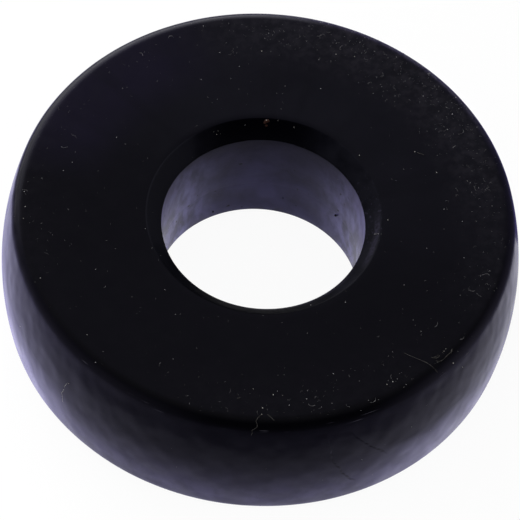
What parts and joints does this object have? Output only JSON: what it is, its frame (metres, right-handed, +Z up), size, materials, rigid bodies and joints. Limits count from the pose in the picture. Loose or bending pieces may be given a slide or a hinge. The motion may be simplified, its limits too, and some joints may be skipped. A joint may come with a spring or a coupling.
{
  "type": "rubber buffer",
  "caption": "Thick moulded rubber ring with a gently bulged side and a plain lipped bore, used as a bump stop, spacer or vibration pad.",
  "frame": {"origin": "centre of the bottom face, on the axis of the bore", "axes": "+Z up along the bore's axis, from the bottom face to the top face; +X and +Y lie in the bottom face, and the ring is the same all round"},
  "size_m": [0.0508, 0.0508, 0.015],
  "materials": {
    "black_rubber": "compression-moulded black rubber, satin with a faint bloom, dust and lint"
  },
  "bodies": {
    "root": {"buffer_ring": "black_rubber"}
  },
  "joints": []
}
